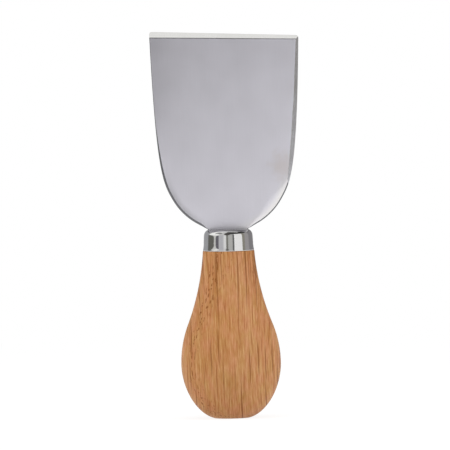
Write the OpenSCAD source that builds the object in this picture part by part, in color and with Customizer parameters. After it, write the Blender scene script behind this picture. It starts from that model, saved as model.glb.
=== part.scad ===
// Cheese spatula: a flat steel blade, held by a drawn steel ferrule in a turned oak handle.
// Z runs from the handle's flat end, on which the spatula stands, to the blade's tip.
// The blade lies in the XZ plane, and its ground face looks towards -Y.

/* [Blade] */
// Height of the high corner of the blade's tip above the handle's flat end
overall_h = 130; // [118:0.5:145]
// Width of the blade at its tip
blade_w = 50; // [42:0.2:58]
// Thickness of the sheet that the blade and the tang are stamped from
blade_t = 1.6; // [1.2:0.1:2.2]
// How far the tip reaches past the circle of the rounded heel, on each side
heel_flare = 4.1; // [2.5:0.1:6]
// Half angle of the rounded heel, in degrees from its lowest point
heel_angle = 60; // [55:1:78]
// Angle at which the heel's straight flanks run down into the ferrule, in degrees
flank_angle = 29; // [22:1:40]
// Width of the blade where it enters the ferrule
seat_w = 13.2; // [11:0.2:13.4]
// Angle at which the sides still open at the tip, in degrees
side_slope = 1.7; // [0:0.1:3]
// How much lower the tip's right corner is than its left one
tip_drop = 2.2; // [0:0.1:3]
// Radius of the tip's corners
tip_corner_r = 0.9; // [0.4:0.1:2]

/* [Ground edges] */
// Width of the ground bevel at the left end of the tip
bevel_left = 1.85; // [1.4:0.05:3]
// Width of the ground bevel at the right end of the tip
bevel_right = 1.1; // [0.8:0.05:2.4]
// Thickness left at the left end of the tip
tip_land = 0.3; // [0.15:0.05:0.6]
// Width of the flat ground on the right side, at the tip
side_grind_w = 0.3; // [0.1:0.05:1]
// Angle of that flat to the blade's face, in degrees
side_grind_angle = 35; // [20:1:42]

/* [Tang] */
// Width of the tang
tang_w = 8; // [6:0.2:10]
// Length of the tang inside the handle
tang_l = 34; // [20:1:40]
// Radius of the round notches that key the tang in the adhesive
notch_r = 1; // [0.6:0.1:1.4]
// Pairs of notches along the tang
notch_count = 3; // [1:1:3]

/* [Ferrule] */
// Largest diameter of the ferrule, at its lip
ferrule_d = 17.1; // [16.4:0.1:19]
// Diameter of the skirt just under the rounded shoulder
ferrule_top_d = 16.4; // [15.4:0.1:17.4]
// Height of the ferrule
ferrule_h = 7.2; // [6:0.1:10]
// Thickness of the drawn sheet
ferrule_wall = 0.8; // [0.5:0.05:1]
// Radius of the shoulder
ferrule_shoulder_r = 1.8; // [1.1:0.1:2.4]
// Height over which the skirt flares out to the lip
lip_h = 2.9; // [1:0.1:3.4]
// Angle of the flare at the lip, in degrees
lip_angle = 12; // [4:1:24]
// Radius of the lip's lower edge
lip_edge_r = 0.25; // [0.1:0.05:0.4]

/* [Handle] */
// Height of the wooden shoulder that the ferrule stands on
handle_h = 56.1; // [50:0.1:65]
// Largest diameter of the handle
bulb_d = 33.4; // [29:0.2:38]
// Height of the largest diameter
bulb_z = 18.3; // [15:0.1:23]
// Diameter of the flat end
foot_d = 11.8; // [8:0.2:16]
// Angle at which the bulb rises from the flat end, in degrees
foot_angle = 14; // [10:1:40]
// Radius of the profile just above the largest diameter
bulb_upper_r = 36; // [28:1:44]
// Slope of the neck where it meets the ferrule, in degrees
neck_slope = 4; // [1:0.5:6]
// How far the neck stands out past the ferrule's lip
neck_proud = 0.08; // [0:0.02:0.3]

/* [Fits] */
// Room around the blade in the ferrule's slot
slot_clearance = 0.2; // [0.05:0.05:0.4]
// Room between the spigot and the inside of the ferrule
spigot_clearance = 0.05; // [0.02:0.01:0.15]
// Room between the end of the spigot and the heel or the top of the ferrule, above it
spigot_gap = 0.2; // [0.1:0.05:0.5]
// Room between the corners of the tang and the bore
bore_clearance = 0.3; // [0.15:0.05:0.6]
// Depth of the bore below the end of the tang
bore_spare = 2; // [1:0.25:4]
// Point angle of the drill that made the bore, in degrees
drill_angle = 118; // [90:1:140]

/* [Hidden] */
$fn = 128;

// Steps in each curve of a profile
heel_steps = 12;
side_steps = 12;
corner_steps = 6;
bulb_steps = 18;
neck_steps = 10;
ferrule_steps = 10;
// Shares of the side's length that set how it leaves the heel and reaches the tip
side_lead_low = 0.12;
side_lead_high = 0.82;
// Share of the side's curve, from the heel, at which the flat ground on the right side starts
side_grind_from = 0.26;
// Shares of the bulb's lower span that set how it leaves the flat end and reaches its widest
bulb_lead_low = 0.29;
bulb_lead_high = 0.39;
// Reach of a cutting block, past the blade on all sides
cut_reach = overall_h;

// Heights along the spatula
ferrule_top_z = handle_h + ferrule_h;
flank_end_z = ferrule_top_z - (seat_w - tang_w) / 2 * tan(flank_angle);
spigot_top_z = min(flank_end_z, ferrule_top_z - ferrule_wall) - spigot_gap;
tang_end_z = spigot_top_z - tang_l;
bore_end_z = tang_end_z - bore_spare;

// The heel's circle touches both flanks, which fill the slot at the top of the ferrule
slot_l = seat_w + 2 * slot_clearance;
slot_w = blade_t + 2 * slot_clearance;
heel_r = blade_w / 2 - heel_flare;
heel_rise = (heel_r - seat_w / 2 * sin(flank_angle)) / cos(flank_angle);
heel_centre = [0, ferrule_top_z + heel_rise];
heel_end = heel_centre + heel_r * [sin(heel_angle), -cos(heel_angle)];

// Corners of the tip, before they are rounded
tip_left = [-blade_w / 2, overall_h];
tip_right = [blade_w / 2, overall_h - tip_drop];
tip_across = unit(tip_left - tip_right);
side_down = -[sin(side_slope), cos(side_slope)];

// Flare of the ferrule, a parabola that ends on the rounded edge of the lip
lip_c = [ferrule_d / 2 - lip_edge_r, lip_edge_r];
flare_end = lip_c + lip_edge_r * [cos(lip_angle), sin(lip_angle)];
flare_h = lip_h - flare_end[1];
flare_w = flare_h * tan(lip_angle) / 2;

// Radii inside the ferrule, which the spigot follows
skirt_low_r = flare_end[0] - flare_w;
ferrule_in_low_r = skirt_low_r - ferrule_wall;
ferrule_in_top_r = ferrule_top_d / 2 - ferrule_wall;
ferrule_in_corner_r = ferrule_shoulder_r - ferrule_wall;

neck_r = ferrule_d / 2 + neck_proud;
bore_r = norm([tang_w, blade_t]) / 2 + bore_clearance;

// Points on an arc about c, from angle a0 to a1
function arc(c, r, a0, a1, steps) =
    [for (i = [0:steps]) let (a = a0 + (a1 - a0) * i / steps) c + r * [cos(a), sin(a)]];

// Point on a cubic curve with the control points p
function cubic_at(p, t) =
    let (s = 1 - t)
    s * s * s * p[0] + 3 * s * s * t * p[1] + 3 * s * t * t * p[2] + t * t * t * p[3];

function cubic(p, steps) = [for (i = [0:steps]) cubic_at(p, i / steps)];

function unit(v) = v / norm(v);

// Distance from a corner to where a radius r starts, with the edges leaving along a and b
function corner_lead(a, b, r) = r / tan(acos(a * b) / 2);

// Points round a corner at p, anticlockwise from the edge along a to the edge along b
function corner(p, a, b, r) =
    let (angle = acos(a * b))
    let (c = p + unit(a + b) * r / sin(angle / 2))
    let (start = p + a * corner_lead(a, b, r) - c)
    let (a0 = atan2(start[1], start[0]))
    arc(c, r, a0, a0 + 180 - angle, corner_steps);

// Control points of one side of the blade, from the heel up to a corner, for x > 0
function side_curve(tip, along_tip) =
    let (end = tip + side_down * corner_lead(side_down, along_tip, tip_corner_r))
    let (span = norm(end - heel_end))
    let (leave = heel_end + side_lead_low * span * [cos(heel_angle), sin(heel_angle)])
    let (reach = end + side_lead_high * span * side_down)
    [heel_end, leave, reach, end];

function mirrored(points) = [for (i = [len(points) - 1:-1:0]) [-points[i][0], points[i][1]]];

// Outline of the blade, anticlockwise from the foot of its left flank
function blade_outline() =
    let (right = side_curve(tip_right, tip_across))
    let (left = side_curve([-tip_left[0], tip_left[1]], [tip_across[0], -tip_across[1]]))
    concat(
        [[-tang_w / 2, flank_end_z], [tang_w / 2, flank_end_z]],
        arc(heel_centre, heel_r, -90 + flank_angle, -90 + heel_angle, heel_steps),
        cubic(right, side_steps),
        corner(tip_right, side_down, tip_across, tip_corner_r),
        corner(tip_left, -tip_across, [-side_down[0], side_down[1]], tip_corner_r),
        mirrored(cubic(left, side_steps)),
        arc(heel_centre, heel_r, -90 - heel_angle, -90 - flank_angle, heel_steps));

// Flat shape of the tang, with its end chamfered and notched along both edges
module tang_outline(top_z) {
    chamfer = tang_w / 4;
    pitch = tang_l / (notch_count + 1);
    difference() {
        polygon([
            [-tang_w / 2, tang_end_z + chamfer],
            [-tang_w / 2 + chamfer, tang_end_z],
            [tang_w / 2 - chamfer, tang_end_z],
            [tang_w / 2, tang_end_z + chamfer],
            [tang_w / 2, top_z],
            [-tang_w / 2, top_z]]);
        for (i = [1:notch_count], side = [-1, 1])
            translate([side * tang_w / 2, tang_end_z + i * pitch])
                circle(r = notch_r);
    }
}

// Stands a flat shape up in the XZ plane, centred on it
module upright(thickness) {
    rotate([90, 0, 0])
        linear_extrude(thickness, center = true)
            children();
}

// Block whose +Y side is the plane through the origin
module cutting_block() {
    translate([-cut_reach, -cut_reach, -cut_reach])
        cube([2 * cut_reach, cut_reach, 2 * cut_reach]);
}

// What the grinder takes off the tip, above a line across the blade's face
module tip_bevel_cut() {
    bevel_angle = atan((blade_t - tip_land) / bevel_left);
    left_z = tip_left[1] - bevel_left;
    right_z = tip_right[1] - bevel_right;
    translate([0, -blade_t / 2, (left_z + right_z) / 2])
        rotate([0, atan((left_z - right_z) / blade_w), 0])
            rotate([-bevel_angle, 0, 0])
                cutting_block();
}

// What the grinder takes off the right side, outside a straight line up to the tip
module side_grind_cut() {
    start = cubic_at(side_curve(tip_right, tip_across), side_grind_from);
    run = tip_right - [side_grind_w, 0] - start;
    translate([start[0], -blade_t / 2, start[1]])
        rotate([0, atan2(run[0], run[1]), 0])
            rotate([0, 0, side_grind_angle])
                cutting_block();
}

// Profile of the handle from its flat end to the shoulder under the ferrule
function handle_profile() =
    let (foot = [foot_d / 2, 0], bulb = [bulb_d / 2, bulb_z], span = norm(bulb - foot))
    let (leave = foot + bulb_lead_low * span * [cos(foot_angle), sin(foot_angle)])
    let (reach = bulb - [0, bulb_lead_high * span])
    let (upper_c = bulb - [bulb_upper_r, 0])
    let (top = [neck_r, handle_h], out = [cos(neck_slope), sin(neck_slope)])
    let (d = top - upper_c)
    let (hollow_r = (d * d - bulb_upper_r * bulb_upper_r) / (2 * (bulb_upper_r - d * out)))
    let (hollow_c = top + hollow_r * out)
    let (between = hollow_c - upper_c, meet = atan2(between[1], between[0]))
    concat(
        cubic([foot, leave, reach, bulb], bulb_steps),
        [for (i = [1:neck_steps]) arc(upper_c, bulb_upper_r, 0, meet, neck_steps)[i]],
        [for (i = [1:neck_steps]) arc(hollow_c, hollow_r, 180 + meet, 180 + neck_slope, neck_steps)[i]]);

// Bore for the tang, open at the end of the spigot, with the drill's point at its bottom
module tang_bore() {
    point_h = bore_r / tan(drill_angle / 2);
    rotate_extrude()
        polygon([
            [0, bore_end_z - point_h],
            [bore_r, bore_end_z],
            [bore_r, spigot_top_z],
            [0, spigot_top_z]]);
}

// Stamped blade with its tang
module blade() {
    color("#b9b9bf")
        difference() {
            upright(blade_t) {
                polygon(blade_outline());
                tang_outline(heel_centre[1]);
            }
            tip_bevel_cut();
            side_grind_cut();
        }
}

// Drawn cap with a rounded shoulder, a flared lip and a slot for the blade
module ferrule() {
    top_r = ferrule_top_d / 2;
    shoulder_z = ferrule_h - ferrule_shoulder_r;
    taper = atan((skirt_low_r - top_r) / (shoulder_z - lip_h));
    shoulder_c = [top_r - ferrule_shoulder_r, shoulder_z];
    in_corner_c = [ferrule_in_top_r - ferrule_in_corner_r, shoulder_z];
    flare = [for (i = [ferrule_steps - 1:-1:0]) let (t = i / ferrule_steps)
        [skirt_low_r + flare_w * t * t, lip_h - flare_h * t]];
    color("#d9d9db")
        translate([0, 0, handle_h])
            difference() {
                rotate_extrude()
                    polygon(concat(
                        [[ferrule_in_low_r, 0]],
                        arc(lip_c, lip_edge_r, -90, lip_angle, corner_steps),
                        flare,
                        arc(shoulder_c, ferrule_shoulder_r, taper, 90, ferrule_steps),
                        [[0, ferrule_h], [0, ferrule_h - ferrule_wall]],
                        arc(in_corner_c, ferrule_in_corner_r, 90, taper, corner_steps)));
                translate([-slot_l / 2, -slot_w / 2, ferrule_h - 2 * ferrule_wall])
                    cube([slot_l, slot_w, 4 * ferrule_wall]);
            }
}

// Turned handle with the spigot that the ferrule covers
module handle() {
    spigot_low_r = ferrule_in_low_r - spigot_clearance;
    spigot_top_r = ferrule_in_top_r - spigot_clearance;
    color("#ba8659")
        difference() {
            rotate_extrude()
                polygon(concat(
                    [[0, 0]],
                    handle_profile(),
                    [
                        [spigot_low_r, handle_h],
                        [spigot_top_r, spigot_top_z - ferrule_in_corner_r],
                        [spigot_top_r - ferrule_in_corner_r, spigot_top_z],
                        [0, spigot_top_z]]));
            tang_bore();
        }
}

// Adhesive that fills the bore round the tang
module tang_adhesive() {
    color("#d8c89a")
        difference() {
            tang_bore();
            upright(blade_t)
                tang_outline(ferrule_top_z);
        }
}

blade();
ferrule();
handle();
tang_adhesive();
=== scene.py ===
"""Dresses the cheese spatula: a satin steel blade, a polished ferrule and a turned oak handle.

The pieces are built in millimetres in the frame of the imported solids, and go out in metres.
"""

import math

import bmesh
import bpy
from mathutils import Matrix, Vector


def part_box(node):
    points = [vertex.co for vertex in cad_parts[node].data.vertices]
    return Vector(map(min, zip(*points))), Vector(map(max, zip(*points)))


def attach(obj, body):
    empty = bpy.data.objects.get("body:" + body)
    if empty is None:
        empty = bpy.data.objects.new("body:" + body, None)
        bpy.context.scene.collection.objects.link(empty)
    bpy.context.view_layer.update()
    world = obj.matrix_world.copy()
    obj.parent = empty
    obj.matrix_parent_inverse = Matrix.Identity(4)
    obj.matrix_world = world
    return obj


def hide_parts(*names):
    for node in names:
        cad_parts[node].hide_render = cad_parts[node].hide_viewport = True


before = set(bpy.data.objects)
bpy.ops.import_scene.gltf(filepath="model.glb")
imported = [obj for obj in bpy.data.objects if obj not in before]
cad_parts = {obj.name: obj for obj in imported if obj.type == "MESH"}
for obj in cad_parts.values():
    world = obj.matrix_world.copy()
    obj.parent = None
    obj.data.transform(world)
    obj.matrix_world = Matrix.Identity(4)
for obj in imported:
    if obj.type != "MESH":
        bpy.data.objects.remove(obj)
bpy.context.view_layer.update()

# Millimetres in a metre
MM = 1000.0
BODY = "root"

# Sizes read from the solids, in mm
blade_low, blade_high = (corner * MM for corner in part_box("blade"))
ferrule_low, ferrule_high = (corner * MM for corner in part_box("ferrule"))
_, handle_high = (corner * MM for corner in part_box("handle"))
BLADE_T = blade_high.y - blade_low.y
TANG_END_Z = blade_low.z
LIP_R = ferrule_high.x
FERRULE_Z = ferrule_low.z
FERRULE_TOP_Z = ferrule_high.z
BULB_R = handle_high.x
SPIGOT_TOP_Z = handle_high.z

# Driving sizes of the blade, in mm and degrees, with leads and starts as shares of a curve
OVERALL_H = 130.0
BLADE_W = 50.0
HEEL_FLARE = 4.1
HEEL_ANGLE = 60.0
FLANK_ANGLE = 29.0
SEAT_W = 13.2
SIDE_SLOPE = 1.7
SIDE_LEAD_LOW = 0.12
SIDE_LEAD_HIGH = 0.82
TIP_DROP = 2.2
TIP_CORNER_R = 0.9
BEVEL_LEFT = 1.85
BEVEL_RIGHT = 1.1
TIP_LAND = 0.3
SIDE_GRIND_W = 0.3
SIDE_GRIND_ANGLE = 35.0
SIDE_GRIND_FROM = 0.26
TANG_W = 8.0
NOTCH_R = 1.0
NOTCH_COUNT = 3

# Driving sizes of the ferrule and the handle, in mm and degrees, with leads as shares of a curve
FERRULE_TOP_R = 8.2
FERRULE_WALL = 0.8
SHOULDER_R = 1.8
LIP_H = 2.9
LIP_ANGLE = 12.0
LIP_EDGE_R = 0.25
BULB_Z = 18.3
BULB_UPPER_R = 36.0
BULB_LEAD_LOW = 0.29
BULB_LEAD_HIGH = 0.39
FOOT_R = 5.9
FOOT_ANGLE = 14.0
NECK_PROUD = 0.08
NECK_SLOPE = 4.0
SLOT_CLEARANCE = 0.2
SPIGOT_CLEARANCE = 0.05
BORE_CLEARANCE = 0.3
BORE_SPARE = 2.0
DRILL_ANGLE = 118.0

# What wear and polishing take off the edges, in mm
LEFT_HEEL_EASE = 0.74
RIGHT_HEEL_EASE = 0.42
SIDE_EASE = 0.15
TIP_EASE = 0.08
TANG_EASE = 0.02
FOOT_EASE = 0.15
NECK_EASE = 0.18
# The heel's ease is full from this many mm over the ferrule, and ends between these heights over the
# heel's centre, in heel radii
SEAT_RISE = 1.6
EASE_END = (-0.25, 1.0)
# Width of the ring of the front face beside an eased edge, as a share of the ease
RING_SPARE = 0.5
# The worn line under the tip's bevel: its reach in mm and its tilt in degrees
WORN_W = 0.3
WORN_TILT = 10.0
# The bevel's own wear, in mm
BEVEL_WEAR = 0.1
# The side's grinding runs on past the one straight cut of the solid: its width at the tip in mm,
# its start as a share of the side, and the shares of the straight cut at which it leaves that cut
SIDE_TOP_W = 0.85
SIDE_LOW_FROM = 0.2
SIDE_BENDS = (0.35, 0.62)
# The skirt's slight barrel under the shoulder: its radius in mm, and the slope it ends at in degrees
BARREL_R = 14.0
BARREL_END = 7.0
# The buffed crescent on the right of the heel, whose width and end also bound its painted highlight: width
# and depth at the rim in mm, and its span in degrees
BUFF_W = 3.2
BUFF_DEPTH = 0.42
BUFF_FROM = 14.0
BUFF_TO = 88.0

# Steps in curves
TURN_STEPS = 160
ARC_STEPS = 64
SIDE_STEPS = 48
EDGE_STEPS = 6
FLARE_STEPS = 16
FLANK_STEPS = 8
NOTCH_STEPS = 24
BUFF_RINGS = 9
# How close to the axis or to a cutting plane a point counts as on it, in mm
ON_AXIS = 1e-6
ON_PLANE = 1e-4
# Turns of the surface, in degrees, from which an edge shows as sharp
BLADE_SHARP = 28.0
TURNED_SHARP = 40.0

# Sizes that follow
front_y = -BLADE_T / 2
slot_l = SEAT_W + 2 * SLOT_CLEARANCE
slot_w = BLADE_T + 2 * SLOT_CLEARANCE
tang_chamfer = TANG_W / 4
flank = math.radians(FLANK_ANGLE)
flank_end = Vector((TANG_W / 2, FERRULE_TOP_Z - (SEAT_W - TANG_W) / 2 * math.tan(flank)))
heel_r = BLADE_W / 2 - HEEL_FLARE
heel_rise = (heel_r - SEAT_W / 2 * math.sin(flank)) / math.cos(flank)
heel_centre = Vector((0, FERRULE_TOP_Z + heel_rise))
ease_end_low, ease_end_high = (heel_centre.y + share * heel_r for share in EASE_END)
tip_left = Vector((-BLADE_W / 2, OVERALL_H))
tip_right = Vector((BLADE_W / 2, OVERALL_H - TIP_DROP))
tip_across = (tip_left - tip_right).normalized()
side_down = -Vector((math.sin(math.radians(SIDE_SLOPE)), math.cos(math.radians(SIDE_SLOPE))))
lip_centre = Vector((LIP_R - LIP_EDGE_R, FERRULE_Z + LIP_EDGE_R))
lip_slope = math.radians(LIP_ANGLE)
flare_end = lip_centre + LIP_EDGE_R * Vector((math.cos(lip_slope), math.sin(lip_slope)))
flare_h = FERRULE_Z + LIP_H - flare_end.y
flare_w = flare_h * math.tan(lip_slope) / 2
skirt_low_r = flare_end.x - flare_w
shell_low_r = skirt_low_r - FERRULE_WALL
shell_top_r = FERRULE_TOP_R - FERRULE_WALL
shell_corner_r = SHOULDER_R - FERRULE_WALL
neck_r = LIP_R + NECK_PROUD
bore_r = math.hypot(TANG_W, BLADE_T) / 2 + BORE_CLEARANCE
bore_end_z = TANG_END_Z - BORE_SPARE


def at_angle(degrees):
    """Unit vector at an angle."""
    return Vector((math.cos(math.radians(degrees)), math.sin(math.radians(degrees))))


def towards(azimuth, elevation):
    """Unit vector towards degrees from the front to the right, and degrees up."""
    level = math.cos(math.radians(elevation))
    flat = at_angle(azimuth - 90) * level
    return Vector((flat.x, flat.y, math.sin(math.radians(elevation))))


def arc(centre, radius, start, end, steps):
    """Points on an arc about centre, with its angles in degrees."""
    return [centre + radius * at_angle(start + (end - start) * i / steps) for i in range(steps + 1)]


def cubic_at(points, t):
    """Point on the cubic curve with these four control points."""
    a, b, c, d = points
    s = 1 - t
    return s**3 * a + 3 * s * s * t * b + 3 * s * t * t * c + t**3 * d


def cubic(points, steps):
    """Points on the cubic curve with these four control points."""
    return [cubic_at(points, i / steps) for i in range(steps + 1)]


def corner_lead(a, b, radius):
    """Distance from a corner to where its radius starts, with the edges leaving along a and b."""
    return radius / math.tan(math.acos(a.dot(b)) / 2)


def corner(point, a, b, radius):
    """Points round a corner, from the edge that leaves along a to the edge that leaves along b."""
    centre = point + (a + b).normalized() * radius / math.sin(math.acos(a.dot(b)) / 2)
    lead = corner_lead(a, b, radius)
    first = point + a * lead - centre
    turn = first.angle_signed(point + b * lead - centre)
    start = math.degrees(math.atan2(first.y, first.x))
    return arc(centre, radius, start, start - math.degrees(turn), EDGE_STEPS)


def smooth(value, start, end):
    """0 before start and 1 after end, with a soft run between them."""
    t = min(max((value - start) / (end - start), 0), 1)
    return t * t * (3 - 2 * t)


def mirrored(points):
    """The points of the left side for those of the right one, in the opposite order."""
    return [Vector((-p.x, p.y)) for p in reversed(points)]


# Meshes


def new_object(name, bm, materials):
    """Makes an object of a mesh and puts it in the scene."""
    mesh = bpy.data.meshes.new(name)
    bm.to_mesh(mesh)
    bm.free()
    for material in materials:
        mesh.materials.append(material)
    thing = bpy.data.objects.new(name, mesh)
    bpy.context.scene.collection.objects.link(thing)
    return thing


def new_piece(name, bm, materials, sharp_angle):
    """Makes an object of a mesh in mm, smooth but for edges sharper than sharp_angle degrees."""
    bmesh.ops.recalc_face_normals(bm, faces=bm.faces)
    bmesh.ops.scale(bm, verts=bm.verts, vec=Vector((1, 1, 1)) / MM)
    piece = new_object(name, bm, materials)
    piece.data.shade_smooth()
    piece.data.set_sharp_from_angle(angle=math.radians(sharp_angle))
    return piece


def weigh_normals(piece):
    """Keeps flat faces flat next to small rounded edges."""
    weighted = piece.modifiers.new("weighted_normals", "WEIGHTED_NORMAL")
    weighted.keep_sharp = True


def dress(piece, node):
    """The piece stands for a CAD node, which it hides, and joins the body."""
    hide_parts(node)
    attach(piece, BODY)


def revolve(bm, profile):
    """Turns a profile of (radius, z) points about Z. A point on the axis becomes one vertex."""
    rings = []
    for radius, z in profile:
        count = 1 if radius < ON_AXIS else TURN_STEPS
        turns = [at_angle(360 * i / TURN_STEPS) * radius for i in range(count)]
        rings.append([bm.verts.new((p.x, p.y, z)) for p in turns])
    for low, high in zip(rings, rings[1:]):
        for i in range(TURN_STEPS):
            j = (i + 1) % TURN_STEPS
            quad = [low[i % len(low)], low[j % len(low)], high[j % len(high)], high[i % len(high)]]
            bm.faces.new(list(dict.fromkeys(quad)))


# Handle


def handle_profile():
    """Profile of the turned handle, from the middle of its flat end to the bottom of its bore."""
    foot = Vector((FOOT_R, 0))
    bulb = Vector((BULB_R, BULB_Z))
    span = (bulb - foot).length
    upper_c = bulb - Vector((BULB_UPPER_R, 0))
    top = Vector((neck_r, FERRULE_Z))
    out = at_angle(NECK_SLOPE)
    rise = top - upper_c
    hollow_r = (rise.dot(rise) - BULB_UPPER_R**2) / (2 * (BULB_UPPER_R - rise.dot(out)))
    hollow_c = top + hollow_r * out
    between_centres = hollow_c - upper_c
    meet = math.degrees(math.atan2(between_centres.y, between_centres.x))

    inward = Vector((-1, 0))
    foot_along = at_angle(FOOT_ANGLE)
    foot_rim = corner(foot, inward, foot_along, FOOT_EASE)
    neck_along = at_angle(NECK_SLOPE - 90)
    neck_rim = corner(top, neck_along, inward, NECK_EASE)
    neck_lead = math.degrees(corner_lead(neck_along, inward, NECK_EASE) / hollow_r)

    leave = foot + BULB_LEAD_LOW * span * foot_along
    reach = bulb - Vector((0, BULB_LEAD_HIGH * span))
    foot_lead = corner_lead(inward, foot_along, FOOT_EASE)
    lower = [p for p in cubic([foot, leave, reach, bulb], ARC_STEPS) if (p - foot).length > foot_lead]
    upper = arc(upper_c, BULB_UPPER_R, 0, meet, ARC_STEPS // 2)
    hollow = arc(hollow_c, hollow_r, 180 + meet, 180 + NECK_SLOPE + neck_lead, ARC_STEPS // 2)

    spigot_low_r = shell_low_r - SPIGOT_CLEARANCE
    spigot_top_r = shell_top_r - SPIGOT_CLEARANCE
    inside = [
        Vector((spigot_low_r, FERRULE_Z)),
        Vector((spigot_top_r, SPIGOT_TOP_Z - shell_corner_r)),
        Vector((spigot_top_r - shell_corner_r, SPIGOT_TOP_Z)),
        Vector((bore_r, SPIGOT_TOP_Z)),
        Vector((bore_r, bore_end_z)),
        Vector((0, bore_end_z - bore_r / math.tan(math.radians(DRILL_ANGLE / 2)))),
    ]
    return [Vector((0, 0)), *foot_rim, *lower, *upper[1:], *hollow[1:], *neck_rim[1:], *inside]


def build_handle(material):
    """The turned handle with its eased foot and neck."""
    bm = bmesh.new()
    revolve(bm, handle_profile())
    piece = new_piece("oak_handle", bm, [material], TURNED_SHARP)
    weigh_normals(piece)
    dress(piece, "handle")


# Ferrule


def ferrule_profile():
    """Profile of the drawn cap, from the middle of its inside to the middle of its top."""
    shoulder_z = FERRULE_TOP_Z - SHOULDER_R
    flare_top_z = FERRULE_Z + LIP_H
    taper = math.degrees(math.atan((skirt_low_r - FERRULE_TOP_R) / (shoulder_z - flare_top_z)))
    shell = arc(Vector((shell_top_r - shell_corner_r, shoulder_z)), shell_corner_r, 90, taper, EDGE_STEPS)
    inside = [Vector((0, FERRULE_TOP_Z - FERRULE_WALL)), *shell, Vector((shell_low_r, FERRULE_Z))]
    lip = arc(lip_centre, LIP_EDGE_R, -90, LIP_ANGLE, EDGE_STEPS)
    flare = []
    for i in range(1, FLARE_STEPS + 1):
        t = 1 - i / FLARE_STEPS
        flare.append(Vector((skirt_low_r + flare_w * t * t, flare_top_z - flare_h * t)))
    barrel_rise = BARREL_R * (at_angle(BARREL_END) - at_angle(taper))
    barrel_end = Vector((FERRULE_TOP_R, shoulder_z)) + Vector((barrel_rise.x, 0))
    barrel = arc(barrel_end - BARREL_R * at_angle(BARREL_END), BARREL_R, taper, BARREL_END, EDGE_STEPS)
    turn_r = (FERRULE_TOP_Z - shoulder_z) / (1 - math.sin(math.radians(BARREL_END)))
    shoulder_c = barrel_end - turn_r * at_angle(BARREL_END)
    shoulder = arc(shoulder_c, turn_r, BARREL_END, 90, ARC_STEPS // 4)
    return [*inside, *lip, *flare, *barrel, *shoulder[1:], Vector((0, FERRULE_TOP_Z))]


def cut_slot(cap):
    """Cuts the slot for the tang through the top of the ferrule."""
    bm = bmesh.new()
    bmesh.ops.create_cube(bm, size=1)
    bmesh.ops.scale(bm, verts=bm.verts, vec=(slot_l, slot_w, 2 * FERRULE_WALL + SHOULDER_R))
    bmesh.ops.translate(bm, verts=bm.verts, vec=(0, 0, FERRULE_TOP_Z))
    cutter = new_piece("slot_cutter", bm, [], TURNED_SHARP)
    cut = cap.modifiers.new("slot", "BOOLEAN")
    cut.object = cutter
    cut.solver = "EXACT"
    cut_cap = cap.evaluated_get(bpy.context.evaluated_depsgraph_get())
    mesh = bpy.data.meshes.new_from_object(cut_cap)
    cap.modifiers.remove(cut)
    cap.data = mesh
    bpy.data.objects.remove(cutter)


def build_ferrule(material):
    """The drawn cap with its flared lip and its slot."""
    bm = bmesh.new()
    revolve(bm, ferrule_profile())
    piece = new_piece("ferrule_cap", bm, [material], TURNED_SHARP)
    cut_slot(piece)
    weigh_normals(piece)
    dress(piece, "ferrule")


# Blade, with the places of its materials in their list
FACE, BEVEL, RIM, SIDE = range(4)


def side_curve(tip, along_tip):
    """Control points of a side of the blade, from the end of its heel up to a corner, for x > 0."""
    start = heel_centre + heel_r * at_angle(HEEL_ANGLE - 90)
    end = tip + side_down * corner_lead(side_down, along_tip, TIP_CORNER_R)
    span = (end - start).length
    leave = start + SIDE_LEAD_LOW * span * at_angle(HEEL_ANGLE)
    reach = end + SIDE_LEAD_HIGH * span * side_down
    return [start, leave, reach, end]


def tang_side():
    """Right edge of the tang, from its chamfered end up past its notches."""
    pitch = (SPIGOT_TOP_Z - TANG_END_Z) / (NOTCH_COUNT + 1)
    points = [
        Vector((TANG_W / 2 - tang_chamfer, TANG_END_Z)),
        Vector((TANG_W / 2, TANG_END_Z + tang_chamfer)),
    ]
    for i in range(1, NOTCH_COUNT + 1):
        points += arc(Vector((TANG_W / 2, TANG_END_Z + i * pitch)), NOTCH_R, 270, 90, NOTCH_STEPS)
    return points


def side_ease(point):
    """Ease of the edge on the heel and the sides: full on the heel, less at the seat and higher up."""
    heel_ease = LEFT_HEEL_EASE if point.x < 0 else RIGHT_HEEL_EASE
    over_ferrule = smooth(point.y, FERRULE_TOP_Z, FERRULE_TOP_Z + SEAT_RISE)
    under_side = 1 - smooth(point.y, ease_end_low, ease_end_high)
    return SIDE_EASE + (heel_ease - SIDE_EASE) * over_ferrule * under_side


def blade_rim():
    """Outline of the blade and the tang, anticlockwise, as (point, ease of the edge)."""
    heel = arc(heel_centre, heel_r, FLANK_ANGLE - 90, HEEL_ANGLE - 90, ARC_STEPS)
    flank_run = [flank_end.lerp(heel[0], i / FLANK_STEPS) for i in range(FLANK_STEPS)]
    lower = flank_run[1:] + heel
    right = cubic(side_curve(tip_right, tip_across), SIDE_STEPS)
    mirrored_tip = Vector((-tip_left.x, tip_left.y))
    mirrored_across = Vector((tip_across.x, -tip_across.y))
    left = cubic(side_curve(mirrored_tip, mirrored_across), SIDE_STEPS)
    tip = corner(tip_right, side_down, tip_across, TIP_CORNER_R)
    tip += corner(tip_left, -tip_across, Vector((-side_down.x, side_down.y)), TIP_CORNER_R)
    tang = tang_side() + flank_run[:1]

    rim = [(p, TANG_EASE) for p in tang]
    rim += [(p, side_ease(p)) for p in lower + right[1:]]
    rim += [(p, TIP_EASE) for p in tip[1:-1]]
    rim += [(p, side_ease(p)) for p in mirrored(left) + mirrored(lower)[1:]]
    rim += [(p, TANG_EASE) for p in mirrored(tang)]
    return rim


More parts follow.
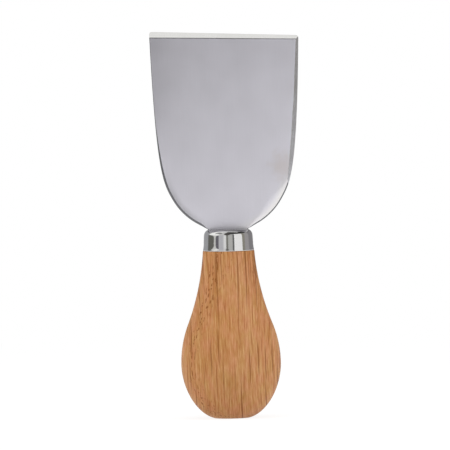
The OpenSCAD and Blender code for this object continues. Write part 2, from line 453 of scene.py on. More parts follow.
def buffing(point):
    """Share of the full buffing at a point of the rim: a soft hump along the right of the heel."""
    if point.x < TANG_W / 2:
        return 0.0
    from_heel = point - heel_centre
    angle = math.degrees(math.atan2(from_heel.y, from_heel.x)) + 90
    middle = (BUFF_FROM + BUFF_TO) / 2
    return smooth(angle, BUFF_FROM, middle) * (1 - smooth(angle, middle, BUFF_TO))


def rim_section(ease, buff_and_highlight):
    """Section over the rim, from the front face to the back, as (distance in from the outline, y)."""
    width = ease * RING_SPARE + BUFF_W * buff_and_highlight
    depth = BUFF_DEPTH * buff_and_highlight
    section = []
    for k in range(BUFF_RINGS):
        t = k / BUFF_RINGS
        section.append((ease + width * (1 - t), front_y + depth * t * t))
    front_edge = arc(Vector((ease, front_y + depth + ease)), ease, -90, -180, EDGE_STEPS)
    back_edge = arc(Vector((ease, -front_y - ease)), ease, 180, 90, EDGE_STEPS)
    return section + [(p.x, p.y) for p in front_edge + back_edge]


def rim_rings():
    """Rings of (x, y, z) points from the front of the blade over its rim to its back."""
    rim = blade_rim()
    sections = []
    for i, (point, ease) in enumerate(rim):
        along = (rim[(i + 1) % len(rim)][0] - rim[i - 1][0]).normalized()
        inward = Vector((-along.y, along.x))
        section = rim_section(ease, buffing(point))
        sections.append([(point + inward * distance, y) for distance, y in section])
    return [[(p.x, y, p.y) for p, y in ring] for ring in zip(*sections)]


def side_grind_runs():
    """Straight runs of the ground right side on the front face, as (low end, high end)."""
    side = side_curve(tip_right, tip_across)
    low = cubic_at(side, SIDE_GRIND_FROM)
    high = tip_right - Vector((SIDE_GRIND_W, 0))
    first, last = (low.lerp(high, share) for share in SIDE_BENDS)
    lower_run = (cubic_at(side, SIDE_LOW_FROM), first)
    upper_run = (last, tip_right - Vector((SIDE_TOP_W, 0)))
    return [(low, high), lower_run, upper_run]


def grind(bm, point, normal, material_index):
    """Takes off what lies outside a plane, and closes the cut with a face of that material."""
    geometry = bm.verts[:] + bm.edges[:] + bm.faces[:]
    cut = bmesh.ops.bisect_plane(
        bm, geom=geometry, dist=ON_PLANE, plane_co=point, plane_no=normal, clear_outer=True)
    edges = [e for e in cut["geom_cut"] if isinstance(e, bmesh.types.BMEdge)]
    filled = bmesh.ops.holes_fill(bm, edges=edges, sides=0)
    for face in filled["faces"]:
        face.material_index = material_index


def grind_tip(bm):
    """Grinds the bevel across the tip, with the worn line under it."""
    left_z = tip_left.y - BEVEL_LEFT
    right_z = tip_right.y - BEVEL_RIGHT
    middle_z = (left_z + right_z) / 2
    skew = Matrix.Rotation(math.atan((left_z - right_z) / BLADE_W), 3, "Y")
    worn_slope = math.radians(WORN_TILT)
    bevel_slope = math.atan((BLADE_T - TIP_LAND) / BEVEL_LEFT)
    for reach, slope, material_index in ((WORN_W, worn_slope, SIDE), (BEVEL_WEAR, bevel_slope, BEVEL)):
        out = skew @ Vector((0, -math.cos(slope), math.sin(slope)))
        grind(bm, (0, front_y, middle_z - reach), out, material_index)


def grind_side(bm):
    """Grinds the right side of the front face."""
    slope = math.radians(SIDE_GRIND_ANGLE)
    for low, high in side_grind_runs():
        lean = Matrix.Rotation(math.atan2(high.x - low.x, high.y - low.y), 3, "Y")
        out = lean @ Vector((math.sin(slope), -math.cos(slope), 0))
        grind(bm, (low.x, front_y, low.y), out, SIDE)


def build_blade(materials):
    """The stamping with its eased rim, its tang, the ground tip and the ground right side."""
    bm = bmesh.new()
    rings = [[bm.verts.new(p) for p in ring] for ring in rim_rings()]
    count = len(rings[0])
    for k, (ring, following) in enumerate(zip(rings, rings[1:])):
        for i in range(count):
            j = (i + 1) % count
            face = bm.faces.new((ring[i], ring[j], following[j], following[i]))
            face.material_index = FACE if k < BUFF_RINGS else RIM
    bm.faces.new(rings[0])
    bm.faces.new(list(reversed(rings[-1])))
    grind_tip(bm)
    grind_side(bm)
    piece = new_piece("spatula_blade", bm, materials, BLADE_SHARP)
    weigh_normals(piece)
    dress(piece, "blade")


# Shader nodes: the middle value of noise, and the usual strength of bumps
NOISE_MIDDLE = 0.5
BUMP_STRENGTH = 0.5
# Sockets of a Mix node for colours
MIX_FACTOR = 0
MIX_A = 6
MIX_B = 7
MIX_RESULT = 2


def add_node(tree, kind, inputs=None, **settings):
    """A shader node with its settings. Each input is a value, or the socket that feeds it."""
    node = tree.nodes.new("ShaderNode" + kind)
    for name, value in settings.items():
        setattr(node, name, value)
    for key, value in (inputs or {}).items():
        if isinstance(value, bpy.types.NodeSocket):
            tree.links.new(value, node.inputs[key])
        else:
            node.inputs[key].default_value = value
    return node


def empty_material(name):
    """A material with no nodes yet, and its tree."""
    material = bpy.data.materials.new(name)
    material.use_nodes = True
    material.node_tree.nodes.clear()
    return material, material.node_tree


def new_material(name):
    """A material with a Principled shader, its tree, and that shader."""
    material, tree = empty_material(name)
    shader = add_node(tree, "BsdfPrincipled")
    add_node(tree, "OutputMaterial", {"Surface": shader.outputs["BSDF"]})
    return material, tree, shader


def maths(tree, operation, a, b=0.0, c=0.0):
    """Result of one operation on values."""
    return add_node(tree, "Math", {0: a, 1: b, 2: c}, operation=operation).outputs[0]


def product(tree, first, *others):
    """Values multiplied together."""
    result = first
    for value in others:
        result = maths(tree, "MULTIPLY", result, value)
    return result


def vector_maths(tree, operation, a, b):
    """Vector that one operation on two vectors gives."""
    return add_node(tree, "VectorMath", {0: a, 1: b}, operation=operation).outputs["Vector"]


def vector_length(tree, vector):
    """Length of a vector."""
    return add_node(tree, "VectorMath", {0: vector}, operation="LENGTH").outputs["Value"]


def scaled(tree, vector, factors):
    """Vector with each axis times its own factor."""
    return vector_maths(tree, "MULTIPLY", vector, factors)


def split(tree, vector):
    """The X, Y and Z of a vector."""
    return add_node(tree, "SeparateXYZ", {0: vector}).outputs


def joined(tree, x, y, z=0.0):
    """Vector made of its X, Y and Z."""
    return add_node(tree, "CombineXYZ", {"X": x, "Y": y, "Z": z}).outputs[0]


def place_in_metres(tree):
    """The point that is shaded, in the object's own frame."""
    return add_node(tree, "TexCoord").outputs["Object"]


def place_in_mm(tree):
    """The point that is shaded, in the object's own frame, in mm."""
    return scaled(tree, place_in_metres(tree), (MM, MM, MM))


def noise(tree, vector, sizes, detail=2.0):
    """Outputs of noise whose features are about sizes mm across along X, Y and Z."""
    vector = scaled(tree, vector, [1 / size for size in sizes])
    return add_node(tree, "TexNoise", {"Vector": vector, "Scale": 1.0, "Detail": detail}).outputs


def cells(tree, vector):
    """Outputs of cells one unit wide in X and Y."""
    inputs = {"Vector": vector, "Scale": 1.0}
    return add_node(tree, "TexVoronoi", inputs, voronoi_dimensions="2D").outputs


def between(tree, value, start, end, low=0.0, high=1.0):
    """Runs smoothly from low at start to high at end."""
    inputs = {"Value": value, "From Min": start, "From Max": end, "To Min": low, "To Max": high}
    return add_node(tree, "MapRange", inputs, interpolation_type="SMOOTHSTEP").outputs[0]


def ramp(tree, value, stops):
    """Colour that runs through stops of (position, colour)."""
    node = add_node(tree, "ValToRGB", {"Fac": value})
    elements = node.color_ramp.elements
    while len(elements) < len(stops):
        elements.new(1.0)
    for element, (position, colour) in zip(elements, stops):
        element.position = position
        element.color = (*colour, 1.0)
    return node.outputs["Color"]


def mix(tree, factor, a, b, blend="MIX"):
    """Colour a turned into colour b by factor. A colour is three values, or a socket."""
    start, end = (c if isinstance(c, bpy.types.NodeSocket) else (*c, 1.0) for c in (a, b))
    inputs = {MIX_FACTOR: factor, MIX_A: start, MIX_B: end}
    return add_node(tree, "Mix", inputs, data_type="RGBA", blend_type=blend).outputs[MIX_RESULT]


def raise_surface(tree, shader, height, depth, strength=BUMP_STRENGTH):
    """Gives the shader bumps of about depth mm."""
    bump = add_node(tree, "Bump", {"Strength": strength, "Distance": depth / MM, "Height": height})
    tree.links.new(bump.outputs["Normal"], shader.inputs["Normal"])


# Oak colours: the tones from dark to light, the tints of its patches, its dark lines and its end grain
OAK_DARK = (0.415, 0.162, 0.049)
OAK_TONES = ((0.15, OAK_DARK), (0.5, (0.485, 0.226, 0.088)), (0.85, (0.578, 0.306, 0.140)))
OAK_TINTS = ((0.35, (0.99, 1.05, 0.92)), (0.65, (1.02, 0.95, 1.0)))
OAK_LINE = (0.20, 0.060, 0.006)
OAK_END = (0.86, 0.74, 0.66)
# Growth rings about a pith behind the handle, in mm: the pith's place, the width of a ring and where one
# starts. The early wood comes in and goes out over these shares of a ring, and darkens by its own share
PITH = (-25.0, 61.0, 0.0)
RING_W = 14.0
RING_AT = 69.5
EARLY_IN = (0.0, 0.06)
EARLY_OUT = (0.45, 0.2)
EARLY_SHARE = 0.15
# How the grain wanders and leans, and how far along the trunk the handle is cut, in mm
DRIFT_SIZES = (20, 20, 60)
GRAIN_DRIFT = 1.4
GRAIN_LEAN = 0.02
GRAIN_SHIFT = 80.0
# Rays and pores are pointed lines along the grain, as (width, length, spacing) in mm. A line is soft
# between these shares of its half width, and its strength follows a chance between these values
RAY = (0.42, 34.0, 1.0)
PORE = (0.36, 12.0, 1.1)
POINTED_EDGE = (1.4, 0.6)
POINTED_CHANCE = (0.35, 0.7)
# Vessels along Z: their spacing in mm, their edge as shares of it, and the noise that breaks them up
VESSEL_PITCH = 1.0
VESSEL_EDGE = (0.34, 0.18)
VESSEL_BREAKS = (0.9, 0.9, 1.1)
VESSEL_OPEN = (0.44, 0.56)
# Sizes of the figure in mm: fibres, streaks and flecks lie across, along and out of the grain, and
# clouds and patches along X, Y and Z
FIBRE_SIZES = (0.34, 10, 9)
FIBRE_DETAIL = 4
STREAK_SIZES = (0.6, 20, 16)
FLECK_SIZES = (0.3, 2.6, 5)
CLOUD_SIZES = (14, 14, 30)
PATCH_SIZES = (3, 3, 6)
# Weights of fibres, streaks, flecks, clouds and patches in the tone, and the tone that they add to
TONE_WEIGHTS = (1.3, 0.8, 1.0, 0.2, 0.25)
TONE_START = -1.295
# Strength of the dark lines of fibres, pores, vessels and rays, and the fibres that are dark
DARK_SHARES = (0.55, 0.7, 0.8, 0.8)
DARK_FIBRE = (0.45, 0.25)
# How far a surface is turned towards Z where end grain starts and where it is full, and its strength
END_TURN = (0.25, 0.95)
END_SHARE = 0.35
# Surface of the oak: its roughness and gloss, the depth of its bumps in mm, and their heights as shares
OAK_ROUGHNESS = 0.46
FIBRE_ROUGHNESS = 0.16
VESSEL_ROUGHNESS = 0.2
OAK_GLOSS = 0.2
GRAIN_DEPTH = 0.06
GRAIN_STRENGTH = 0.6
FIBRE_HEIGHT = 0.3
VESSEL_HEIGHT = -1.0
POINTED_HEIGHT = -0.5


def wandering_grain(tree, place):
    """The place in the wood, moved a little by the grain's slow drift."""
    drift = noise(tree, place, DRIFT_SIZES)["Color"]
    drift = vector_maths(tree, "SUBTRACT", drift, (NOISE_MIDDLE, NOISE_MIDDLE, NOISE_MIDDLE))
    return vector_maths(tree, "ADD", place, scaled(tree, drift, (GRAIN_DRIFT, GRAIN_DRIFT, 0)))


def pointed_lines(tree, face, width, length, pitch):
    """Pointed lines along the grain, of uneven strength, one to a cell of that pitch across."""
    reach = width / pitch / 2
    cell = cells(tree, scaled(tree, face, (1 / pitch, 2 * reach / length, 0)))
    line = between(tree, cell["Distance"], *(share * reach for share in POINTED_EDGE))
    chance = add_node(tree, "SeparateColor", {0: cell["Color"]}).outputs[1]
    return product(tree, line, between(tree, chance, *POINTED_CHANCE))


def early_vessels(tree, grain, early):
    """Vessels along Z in the early wood, broken up along their length."""
    cell = cells(tree, scaled(tree, grain, (1 / VESSEL_PITCH, 1 / VESSEL_PITCH, 0)))
    vessel = between(tree, cell["Distance"], *VESSEL_EDGE)
    open_part = between(tree, noise(tree, grain, VESSEL_BREAKS)["Fac"], *VESSEL_OPEN)
    return product(tree, vessel, early, open_part)


def end_grain(tree):
    """Share of end grain, by how far the surface is turned towards Z."""
    upright = split(tree, add_node(tree, "NewGeometry").outputs["Normal"])["Z"]
    return between(tree, maths(tree, "ABSOLUTE", upright), *END_TURN)


def oak_material():
    """Oiled oak as a solid: growth rings, rays, pores, vessels, fibres, and darker end grain."""
    material, tree, shader = new_material("oiled_oak")
    place = place_in_mm(tree)
    grain = wandering_grain(tree, place)
    level = scaled(tree, grain, (1, 1, 0))
    from_pith = vector_length(tree, vector_maths(tree, "SUBTRACT", level, PITH))
    ring = maths(tree, "DIVIDE", maths(tree, "SUBTRACT", from_pith, RING_AT), RING_W)
    ring = maths(tree, "FRACT", ring)
    early = product(tree, between(tree, ring, *EARLY_IN), between(tree, ring, *EARLY_OUT))

    axes = split(tree, grain)
    across = maths(tree, "MULTIPLY_ADD", axes["Z"], GRAIN_LEAN, axes["X"])
    along = maths(tree, "ADD", axes["Z"], GRAIN_SHIFT)
    face = joined(tree, across, along, from_pith)
    ray = pointed_lines(tree, face, *RAY)
    pore = pointed_lines(tree, face, *PORE)
    vessel = early_vessels(tree, grain, early)

    fibre = noise(tree, face, FIBRE_SIZES, FIBRE_DETAIL)["Fac"]
    streak = noise(tree, face, STREAK_SIZES)["Fac"]
    fleck = noise(tree, face, FLECK_SIZES)["Fac"]
    cloud = noise(tree, place, CLOUD_SIZES)["Fac"]
    patch = noise(tree, place, PATCH_SIZES)["Fac"]
    tone = TONE_START
    for figure, weight in zip((fibre, streak, fleck, cloud, patch), TONE_WEIGHTS):
        tone = maths(tree, "MULTIPLY_ADD", figure, weight, tone)
    colour = ramp(tree, tone, OAK_TONES)
    colour = mix(tree, 1.0, colour, ramp(tree, patch, OAK_TINTS), blend="MULTIPLY")
    colour = mix(tree, product(tree, early, EARLY_SHARE), colour, OAK_DARK)
    dark_fibre = between(tree, fibre, *DARK_FIBRE)
    for lines, share in zip((dark_fibre, pore, vessel, ray), DARK_SHARES):
        colour = mix(tree, product(tree, lines, share), colour, OAK_LINE)
    colour = mix(tree, product(tree, end_grain(tree), END_SHARE), colour, OAK_END, blend="MULTIPLY")
    tree.links.new(colour, shader.inputs["Base Color"])

    rough = maths(tree, "MULTIPLY_ADD", fibre, FIBRE_ROUGHNESS, OAK_ROUGHNESS)
    rough = maths(tree, "MULTIPLY_ADD", vessel, VESSEL_ROUGHNESS, rough)
    tree.links.new(rough, shader.inputs["Roughness"])
    shader.inputs["Specular IOR Level"].default_value = OAK_GLOSS

    height = maths(tree, "MULTIPLY_ADD", vessel, VESSEL_HEIGHT, product(tree, fibre, FIBRE_HEIGHT))
    pointed = maths(tree, "MAXIMUM", pore, ray)
    height = maths(tree, "MULTIPLY_ADD", pointed, POINTED_HEIGHT, height)
    raise_surface(tree, shader, height, GRAIN_DEPTH, GRAIN_STRENGTH)
    return material


# Steel, as (dark and light tone, roughness of both, sizes of the polishing lines in mm, their depth in mm)
SATIN = (((0.776, 0.76, 0.83), (0.811, 0.795, 0.865)), (0.37, 0.43), (0.25, 0.25, 9), 0.002)
GROUND = (((0.86, 0.855, 0.83), (0.94, 0.935, 0.91)), (0.13, 0.19), (0.12, 3, 3), 0.002)
SIDE_GROUND = (((0.645, 0.645, 0.70), (0.72, 0.72, 0.78)), (0.2, 0.26), (0.3, 0.3, 6), 0.001)
# The rim is made far darker than steel: partly its own sheared finish, partly painted shade along the
# blade's outline
SHEARED_AND_SHADED = (((0.135, 0.135, 0.145), (0.20, 0.20, 0.21)), (0.35, 0.5), (0.4, 0.8, 0.4), 0.01)
POLISHED = (((0.74, 0.735, 0.73), (0.78, 0.775, 0.77)), (0.05, 0.09), (6, 6, 0.2), 0.0004)
# In all steel: the detail of the polishing lines, the sizes of the clouds in mm, the weights of both in the
# tone, and the tone's dark and light end
POLISH_DETAIL = 3
STEEL_CLOUDS = (9, 9, 9)
POLISH_WEIGHT = 0.5
STEEL_CLOUD_WEIGHT = 0.5
STEEL_ENDS = (0.3, 0.7)
# Buffing, painted highlight and painted shade on the heel's front, with angles in degrees from straight
# down towards the right
# The buffed part, made lighter by a painted highlight: the highlight's colour, where the part comes in and
# goes out, the highlight's strength, and the part's change of roughness
PAINTED_HIGHLIGHT = (0.86, 0.845, 0.80)
BUFF_AND_HIGHLIGHT_IN = (-10.0, 55.0)
BUFF_AND_HIGHLIGHT_OUT = (BUFF_TO, 63.0)
HIGHLIGHT_SHARE = 0.8
BUFFED_ROUGHNESS = -0.08
# Painted shade along the heel's left rim: its colour, where it comes in and goes out, its strength, and its
# reach in mm
PAINTED_SHADE = (0.42, 0.42, 0.44)
PAINTED_SHADE_IN = (-10.0, -45.0)
PAINTED_SHADE_OUT = (-92.0, -58.0)
PAINTED_SHADE_SHARE = 0.7
PAINTED_SHADE_W = 3.0
# A faint warm smudge beside the buffed part: its place and size in mm, its colour, the sizes in mm of what
# makes its edge uneven, and where it fades in, in half sizes from its middle
SMUDGE_X = 19.4
SMUDGE_Z = 84.0
SMUDGE_W = 11.0
SMUDGE_H = 12.0
SMUDGE = (0.93, 0.895, 0.85)
SMUDGE_SIZES = (2.5, 2.5, 2.5)
SMUDGE_EDGE = (1.2, 0.2)


def heel_buffing_and_painted_light(tree, place):
    """Shares of the buffing, with its painted highlight, along the right rim of the heel, and of the
    painted shade along its left rim.

    Both are on the front of the blade alone.
    """
    axes = split(tree, place)
    below = maths(tree, "SUBTRACT", heel_centre.y, axes["Z"])
    from_centre = vector_length(tree, joined(tree, axes["X"], below))
    turn = maths(tree, "DEGREES", maths(tree, "ARCTAN2", axes["X"], below))
    front = between(tree, axes["Y"], BLADE_T / 4, -BLADE_T / 4)
    shares = []
    for width, turn_in, turn_out in ((BUFF_W, BUFF_AND_HIGHLIGHT_IN, BUFF_AND_HIGHLIGHT_OUT), (PAINTED_SHADE_W, PAINTED_SHADE_IN, PAINTED_SHADE_OUT)):
        span = product(tree, between(tree, turn, *turn_in), between(tree, turn, *turn_out), front)
        shares.append(product(tree, between(tree, from_centre, heel_r - width, heel_r), span))
    return shares


def smudge(tree, place):
    """Share of the smudge on the front: a soft patch with an uneven edge."""
    away = vector_maths(tree, "SUBTRACT", place, (SMUDGE_X, front_y, SMUDGE_Z))
    away = vector_length(tree, scaled(tree, away, (2 / SMUDGE_W, 2 / BLADE_T, 2 / SMUDGE_H)))
    uneven = maths(tree, "SUBTRACT", noise(tree, place, SMUDGE_SIZES)["Fac"], NOISE_MIDDLE)
    return between(tree, maths(tree, "ADD", away, uneven), *SMUDGE_EDGE)


def steel_material(name, tones, roughness, line_sizes, line_depth, worn_and_painted_light=False):
    """Steel whose tone and roughness vary along fine polishing lines.

    Where that is asked for, it has the heel's buffing with its painted highlight, painted shade along the
    heel's left rim, and the smudge.
    """
    material, tree, shader = new_material(name)
    place = place_in_mm(tree)
    line = noise(tree, place, line_sizes, POLISH_DETAIL)["Fac"]
    cloud = noise(tree, place, STEEL_CLOUDS)["Fac"]
    tone = maths(tree, "MULTIPLY_ADD", line, POLISH_WEIGHT, product(tree, cloud, STEEL_CLOUD_WEIGHT))
    colour = ramp(tree, tone, list(zip(STEEL_ENDS, tones)))
    rough = between(tree, tone, *STEEL_ENDS, *roughness)
    if worn_and_painted_light:
        buff_and_highlight, left_painted_shade = heel_buffing_and_painted_light(tree, place)
        colour = mix(tree, smudge(tree, place), colour, SMUDGE, blend="MULTIPLY")
        # Painted highlight: the buffed crescent is made lighter than the satin
        colour = mix(tree, product(tree, buff_and_highlight, HIGHLIGHT_SHARE), colour, PAINTED_HIGHLIGHT)
        # Painted shade: the heel's left rim is made darker
        colour = mix(tree, product(tree, left_painted_shade, PAINTED_SHADE_SHARE), colour, PAINTED_SHADE)
        rough = maths(tree, "MULTIPLY_ADD", buff_and_highlight, BUFFED_ROUGHNESS, rough)
    tree.links.new(colour, shader.inputs["Base Color"])
    tree.links.new(rough, shader.inputs["Roughness"])
    shader.inputs["Metallic"].default_value = 1.0
    raise_surface(tree, shader, line, line_depth)
    return material


# Adhesive: sizes of its clouds in mm, their colours, bubbles to a mm, and a bubble's edge and surface
ADHESIVE_CLOUDS = (5, 5, 9)
ADHESIVE_TONES = ((0.3, (0.55, 0.42, 0.20)), (0.7, (0.72, 0.62, 0.40)))
BUBBLES = 0.7
BUBBLE_EDGE = (0.22, 0.12)
BUBBLE_ROUGHNESS = (0.22, 0.4)
BUBBLE_DEPTH = 0.1


def adhesive_material():
    """Cured amber adhesive with clouds and small bubbles."""
    material, tree, shader = new_material("amber_adhesive")
    place = place_in_mm(tree)
    colour = ramp(tree, noise(tree, place, ADHESIVE_CLOUDS)["Fac"], ADHESIVE_TONES)
    tree.links.new(colour, shader.inputs["Base Color"])
    bubbles = add_node(tree, "TexVoronoi", {"Vector": place, "Scale": BUBBLES})
    bubble = between(tree, bubbles.outputs["Distance"], *BUBBLE_EDGE)
    tree.links.new(between(tree, bubble, 0, 1, *BUBBLE_ROUGHNESS), shader.inputs["Roughness"])
    raise_surface(tree, shader, bubble, BUBBLE_DEPTH)
    return material


def dress_adhesive():
    """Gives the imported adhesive, which is hidden in the handle, its material."""
    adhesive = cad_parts["tang_adhesive"]
    adhesive.data.materials.clear()
    adhesive.data.materials.append(adhesive_material())


# Studio, in metres and degrees
FLOOR_R = 3.0
FLOOR_SIDES = 96
FLOOR_NEAR = 0.16
FLOOR_FAR = 0.5
FLOOR_DROP = 0.00005
PAPER_GREY = 0.2
PAPER_GLOW = 0.85
BOUNCE = 0.88
SKY_LIGHT = 0.62
TENT_R = 0.30
TENT_SIDES = 96
TENT_RINGS = 48
TENT_Z = 0.06
TENT_FOOT = -6.0
TENT_GREY = 0.42
# Cards in the tent, the later ones in front, as
# (degrees from the front towards the right, degrees up, colour, softness of the edges in degrees)
CARDS = (
    ((66, 114), (-90, 60), (0.37, 0.355, 0.36), 3),
    ((66, 83), (-90, 60), (0.29, 0.28, 0.24), 2),
    ((110, 190), (-90, 100), (0.255, 0.245, 0.255), 6),
    ((-107, -30), (12, 100), (1.05, 1.05, 1.03), 4),
    ((-48, -11), (13, 100), (0.64, 0.64, 0.64), 6),
    ((-107, -45), (-90, 12), (0.68, 0.68, 0.66), 3),
    ((-190, -106), (-90, 75), (0.38, 0.385, 0.40), 3),
    ((-45, -11), (-90, 17), (0.53, 0.53, 0.56), 2),
    ((-20, -11), (-90, 17), (1.0, 1.0, 0.98), 9),
    ((-11, 125), (34, 100), (0.05, 0.05, 0.05), 4),
    ((-2, 19), (-90, 18), (0.50, 0.50, 0.485), 2),
    ((20, 28), (-90, 24), (0.15, 0.15, 0.15), 2),
    ((-9.5, -1.5), (-90, 30), (0.20, 0.20, 0.175), 2.5))
# Half-round cards in front of those, as
# (degrees of the straight side, degrees of the round side, lowest, highest, colour)
ROUND_CARDS = (
    (-109, -70, -9, 14, (0.145, 0.145, 0.13)),
    (-46, -62, -10, 14, (0.15, 0.145, 0.165)),
    (-6, 10, 15, 62, (0.09, 0.085, 0.08)),
    (-6, -22, 15, 62, (0.09, 0.085, 0.08)))
ROUND_SOFT = 0.1
# Bright and dark panels near the steel, as
# (name, middle, degrees from the front it lies towards, degrees up, width, height, grey)
PANELS = (
    ("soft_box", (0.0435, -0.0413, 0.048), 46.5, 0, 0.040, 0.096, 0.95),
    ("back_box", (0.087, -0.0826, 0.065), 46.5, 0, 0.080, 0.13, 1.6),
    ("top_strip", (-0.004, -0.0155, 0.1655), 0, 68, 0.13, 0.022, 0.82),
    ("dark_flag", (-0.036, -0.027, 0.115), -53, 0, 0.030, 0.050, 0.30))
# Soft lamps, as (name, degrees from the front, degrees up, distance, size, watts)
LAMPS = (
    ("lamp_left", -65, 20, 0.8, 0.5, 2.25),
    ("lamp_right", 65, 20, 0.8, 0.5, 2.25),
    ("lamp_top", 0, 80, 0.9, 0.7, 1.6))


def seen_directly(tree):
    """1 for what the camera, a reflection or a see-through surface sees, and 0 for bounced light."""
    path = add_node(tree, "LightPath").outputs
    seen = maths(tree, "MAXIMUM", path["Is Camera Ray"], path["Is Glossy Ray"])
    return maths(tree, "MAXIMUM", seen, path["Is Transmission Ray"])


def build_world():
    """White where it is seen, and soft light from all sides."""
    world = bpy.data.worlds.new("studio")
    world.use_nodes = True
    tree = world.node_tree
    tree.nodes.clear()
    strength = between(tree, seen_directly(tree), 0, 1, SKY_LIGHT, 1.0)
    background = add_node(tree, "Background", {"Color": (1, 1, 1, 1), "Strength": strength})
    add_node(tree, "OutputWorld", {"Surface": background.outputs[0]})
    bpy.context.scene.world = world


def floor_material():
    """Paper that keeps the shadow near the spatula and runs into the white further out."""
    material, tree = empty_material("white_floor")
    seen = seen_directly(tree)
    paper = add_node(tree, "BsdfDiffuse", {"Color": (PAPER_GREY, PAPER_GREY, PAPER_GREY, 1)})
    near_glow = between(tree, seen, 0, 1, BOUNCE - PAPER_GREY, PAPER_GLOW)
    glow = add_node(tree, "Emission", {"Strength": near_glow})
    near = add_node(tree, "AddShader", {0: paper.outputs[0], 1: glow.outputs[0]})
    far = add_node(tree, "Emission", {"Strength": between(tree, seen, 0, 1, BOUNCE, 1.0)})
    away = between(tree, vector_length(tree, place_in_metres(tree)), FLOOR_NEAR, FLOOR_FAR)
    surface = add_node(tree, "MixShader", {0: away, 1: near.outputs[0], 2: far.outputs[0]})
    add_node(tree, "OutputMaterial", {"Surface": surface.outputs[0]})
    return material


def build_floor():
    """White disc just under the spatula."""
    bm = bmesh.new()
    bmesh.ops.create_circle(bm, cap_ends=True, radius=FLOOR_R, segments=FLOOR_SIDES)
    floor = new_object("floor", bm, [floor_material()])
    floor.location.z = -FLOOR_DROP


def show_in_reflections(thing):
    """Sets up a piece of the studio that only reflections see."""
    for ray in ("camera", "diffuse", "transmission", "volume_scatter", "shadow"):
        setattr(thing, "visible_" + ray, False)


def between_angles(tree, angle, low, high, soft):
    """1 from low to high, with edges that are soft over that many degrees to both sides."""
    over = between(tree, angle, low - soft, low + soft)
    under = between(tree, angle, high + soft, high - soft)
    return product(tree, over, under)


def half_round(tree, turn, rise, straight, far, low, high):
    """1 on half an ellipse that stands on its straight side and reaches out to far."""
    across = maths(tree, "DIVIDE", maths(tree, "SUBTRACT", turn, straight), far - straight)
    up = maths(tree, "DIVIDE", maths(tree, "SUBTRACT", rise, (low + high) / 2), (high - low) / 2)
    reach = vector_length(tree, joined(tree, across, up))
    inside = between(tree, reach, 1 + ROUND_SOFT, 1 - ROUND_SOFT)
    return product(tree, inside, between(tree, across, -ROUND_SOFT, ROUND_SOFT))


def tent_material():
    """Bright and dark cards on the tent's grey."""
    material, tree = empty_material("tent_card")
    axes = split(tree, place_in_metres(tree))
    turn = maths(tree, "ARCTAN2", axes["X"], product(tree, axes["Y"], -1.0))
    turn = maths(tree, "DEGREES", turn)
    rise = maths(tree, "DEGREES", maths(tree, "ARCSINE", maths(tree, "DIVIDE", axes["Z"], TENT_R)))
    colour = (TENT_GREY, TENT_GREY, TENT_GREY)
    for turns, rises, paint, soft in CARDS:
        across = between_angles(tree, turn, *turns, soft)
        up = between_angles(tree, rise, *rises, soft)
        colour = mix(tree, product(tree, across, up), colour, paint)
    for *shape, paint in ROUND_CARDS:
        colour = mix(tree, half_round(tree, turn, rise, *shape), colour, paint)
    card = add_node(tree, "Emission", {"Color": colour})
    add_node(tree, "OutputMaterial", {"Surface": card.outputs[0]})
    return material


def build_tent():
    """Dome of bright and dark card round the spatula that only reflections see."""
    bm = bmesh.new()
    bmesh.ops.create_uvsphere(bm, u_segments=TENT_SIDES, v_segments=TENT_RINGS, radius=TENT_R)
    geometry = bm.verts[:] + bm.edges[:] + bm.faces[:]
    foot = Vector((0, 0, TENT_R * math.sin(math.radians(TENT_FOOT))))
    bmesh.ops.bisect_plane(bm, geom=geometry, plane_co=foot, plane_no=(0, 0, 1), clear_inner=True)
    tent = new_object("tent", bm, [tent_material()])
    tent.location.z = TENT_Z
    show_in_reflections(tent)


def panel_material(name, grey):
    """Even grey glow."""
    material, tree = empty_material(name)
    glow = add_node(tree, "Emission", {"Strength": grey})
    add_node(tree, "OutputMaterial", {"Surface": glow.outputs[0]})
    return material


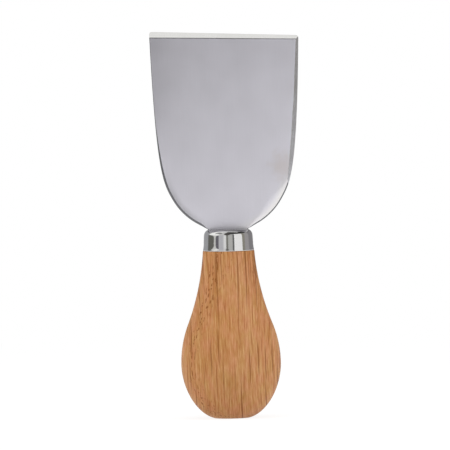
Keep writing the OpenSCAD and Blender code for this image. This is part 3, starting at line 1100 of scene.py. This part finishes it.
def build_panels():
    """Panels beside and above the blade that only reflections see."""
    for name, middle, azimuth, elevation, width, height, grey in PANELS:
        bm = bmesh.new()
        bmesh.ops.create_grid(bm, size=1)
        bmesh.ops.scale(bm, verts=bm.verts, vec=(width / 2, height / 2, 1))
        panel = new_object(name, bm, [panel_material(name, grey)])
        panel.location = middle
        panel.rotation_euler = towards(azimuth, elevation).to_track_quat("Z", "Y").to_euler()
        show_in_reflections(panel)


def build_lamps():
    """Soft lamps that light the surfaces and don't show in the steel."""
    middle = Vector((0, 0, OVERALL_H / 2 / MM))
    for name, azimuth, elevation, distance, size, watts in LAMPS:
        light = bpy.data.lights.new(name, "AREA")
        light.shape = "DISK"
        light.size = size
        light.energy = watts
        lamp = bpy.data.objects.new(name, light)
        direction = towards(azimuth, elevation)
        lamp.location = middle + direction * distance
        lamp.rotation_euler = direction.to_track_quat("Z", "Y").to_euler()
        lamp.visible_glossy = False
        bpy.context.scene.collection.objects.link(lamp)


# Camera: the photo's view, in mm and degrees
CAMERA_AWAY = 4000.0
CAMERA_UP = 2.4
CAMERA_ROLL = -1.3
AIM = Vector((-1.0, 0.0, 64.7))
MM_PER_PIXEL = 0.3352
IMAGE_PIXELS = 450
SENSOR = 36.0


def build_camera():
    """A long lens in front of the blade, a little above it."""
    data = bpy.data.cameras.new("camera")
    data.sensor_width = SENSOR
    data.lens = SENSOR * CAMERA_AWAY / (MM_PER_PIXEL * IMAGE_PIXELS)
    camera = bpy.data.objects.new("camera", data)
    direction = towards(0, CAMERA_UP)
    look = direction.to_track_quat("Z", "Y").to_matrix()
    turn = (look @ Matrix.Rotation(math.radians(CAMERA_ROLL), 3, "Z")).to_4x4()
    camera.matrix_world = Matrix.Translation((AIM + direction * CAMERA_AWAY) / MM) @ turn
    bpy.context.scene.collection.objects.link(camera)
    bpy.context.scene.camera = camera


satin = steel_material("satin_steel", *SATIN, worn_and_painted_light=True)
ground = steel_material("ground_steel", *GROUND)
side_ground = steel_material("side_ground_steel", *SIDE_GROUND)
sheared_and_shaded = steel_material("sheared_shaded_steel", *SHEARED_AND_SHADED)
polished = steel_material("polished_steel", *POLISHED)
build_blade([satin, ground, sheared_and_shaded, side_ground])
build_ferrule(polished)
build_handle(oak_material())
dress_adhesive()

build_world()
build_floor()
build_tent()
build_panels()
build_lamps()
build_camera()
bpy.context.scene.view_settings.view_transform = "Standard"
